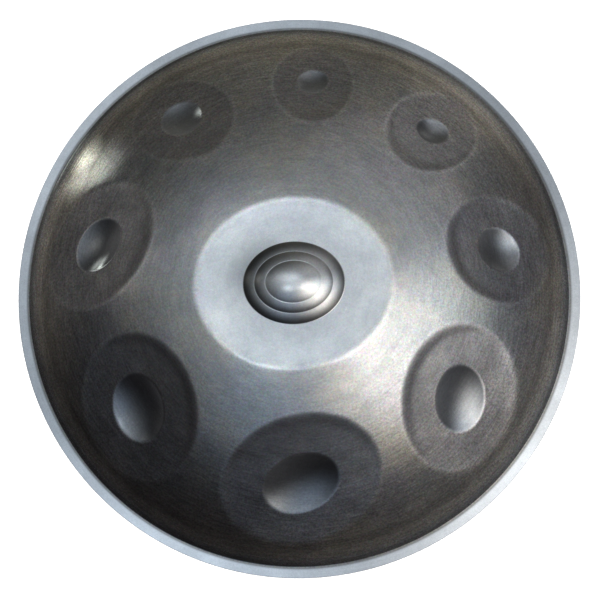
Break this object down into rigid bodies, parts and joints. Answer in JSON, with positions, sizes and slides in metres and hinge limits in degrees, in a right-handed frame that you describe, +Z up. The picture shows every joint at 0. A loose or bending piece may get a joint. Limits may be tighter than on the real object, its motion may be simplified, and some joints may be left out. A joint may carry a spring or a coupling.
{
  "type": "handpan",
  "caption": "Lens-shaped steel hand drum: two bonded domes with a rim flange, tuned elliptical fields with dimples round a tiered centre boss, and a port underneath.",
  "frame": {"origin": "centre of the flat resting land round the port, on the plane it rests on", "axes": "+Z up through the centre boss; -Y towards the player, where the lowest outer note field lies; +X to the player's right"},
  "size_m": [0.53, 0.53, 0.2244],
  "materials": {
    "upper_steel": "nitrided sheet, fine brushed satin, dark in the note fields",
    "lower_steel": "nitrided sheet, fine brushed satin",
    "adhesive": "cured black elastic adhesive, dull"
  },
  "bodies": {
    "root": {"top_shell": "upper_steel", "bottom_shell": "lower_steel", "seam_adhesive": "adhesive"}
  },
  "joints": []
}
